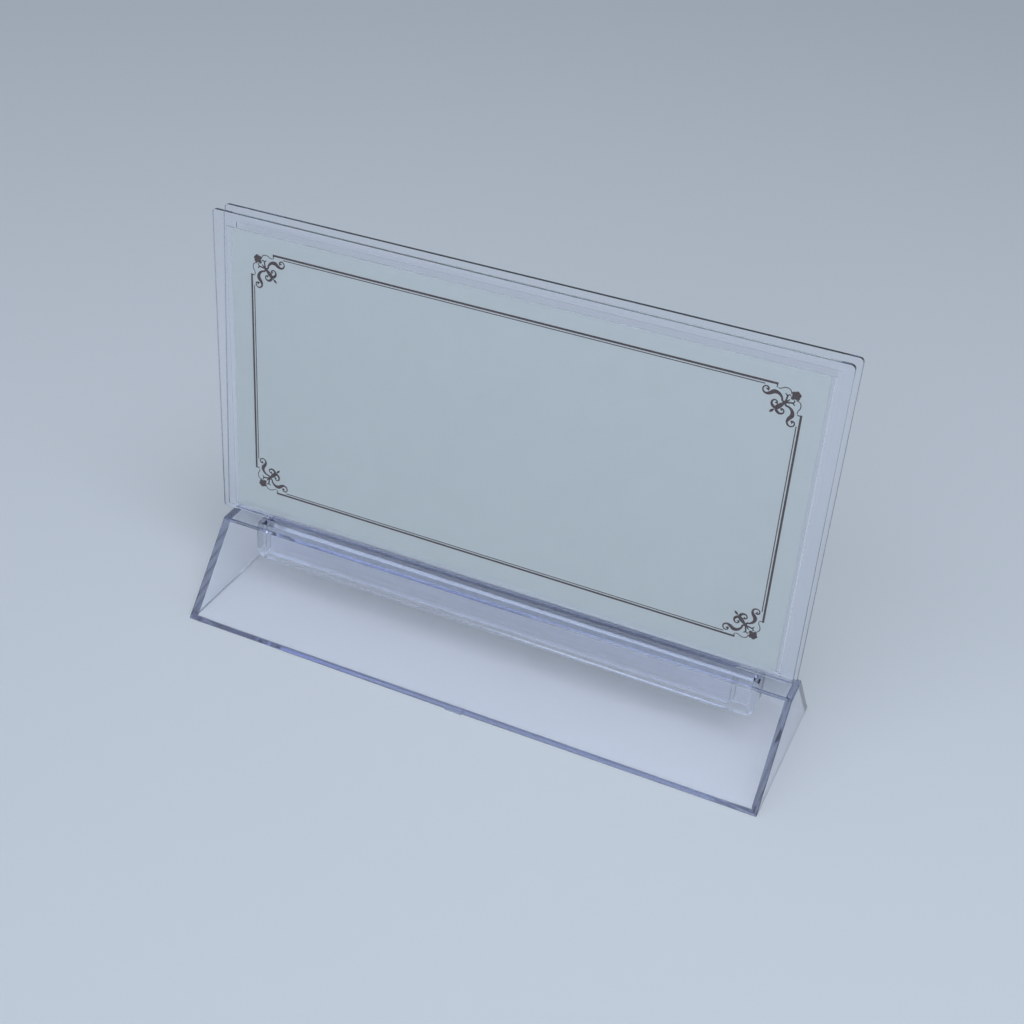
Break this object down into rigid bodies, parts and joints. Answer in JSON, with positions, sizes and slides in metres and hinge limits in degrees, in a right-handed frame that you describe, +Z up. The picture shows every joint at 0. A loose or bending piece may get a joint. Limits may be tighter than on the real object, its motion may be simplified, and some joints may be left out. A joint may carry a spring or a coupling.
{
  "type": "table number holder",
  "caption": "Freestanding sign holder: clear leaves plug side by side into a hollow clear base and keep a printed table card upright between them.",
  "frame": {"origin": "middle of the base's footprint, on the table", "axes": "+X along the base and the card's width, +Y towards the back (the leaves lean this way), +Z up"},
  "size_m": [0.2252, 0.0612, 0.1482],
  "materials": {
    "base": "clear moulded polystyrene, gloss",
    "leaves": "clear moulded polystyrene, gloss",
    "card": "smooth printed card stock"
  },
  "bodies": {
    "base": {"base": "base"},
    "front_leaf": {"front_leaf": "leaves"},
    "back_leaf": {"back_leaf": "leaves"},
    "card": {"card": "card"}
  },
  "joints": [
    {"name": "front_leaf_lift", "type": "slide", "parent": "base", "child": "front_leaf", "axis": [0, 0.0502, 0.9987], "range_m": [0, 0.03]},
    {"name": "back_leaf_lift", "type": "slide", "parent": "base", "child": "back_leaf", "axis": [0, 0.0824, 0.9966], "range_m": [0, 0.03]},
    {"name": "card_lift", "type": "slide", "parent": "front_leaf", "child": "card", "axis": [0, 0.0563, 0.9984], "range_m": [0, 0.125]}
  ]
}
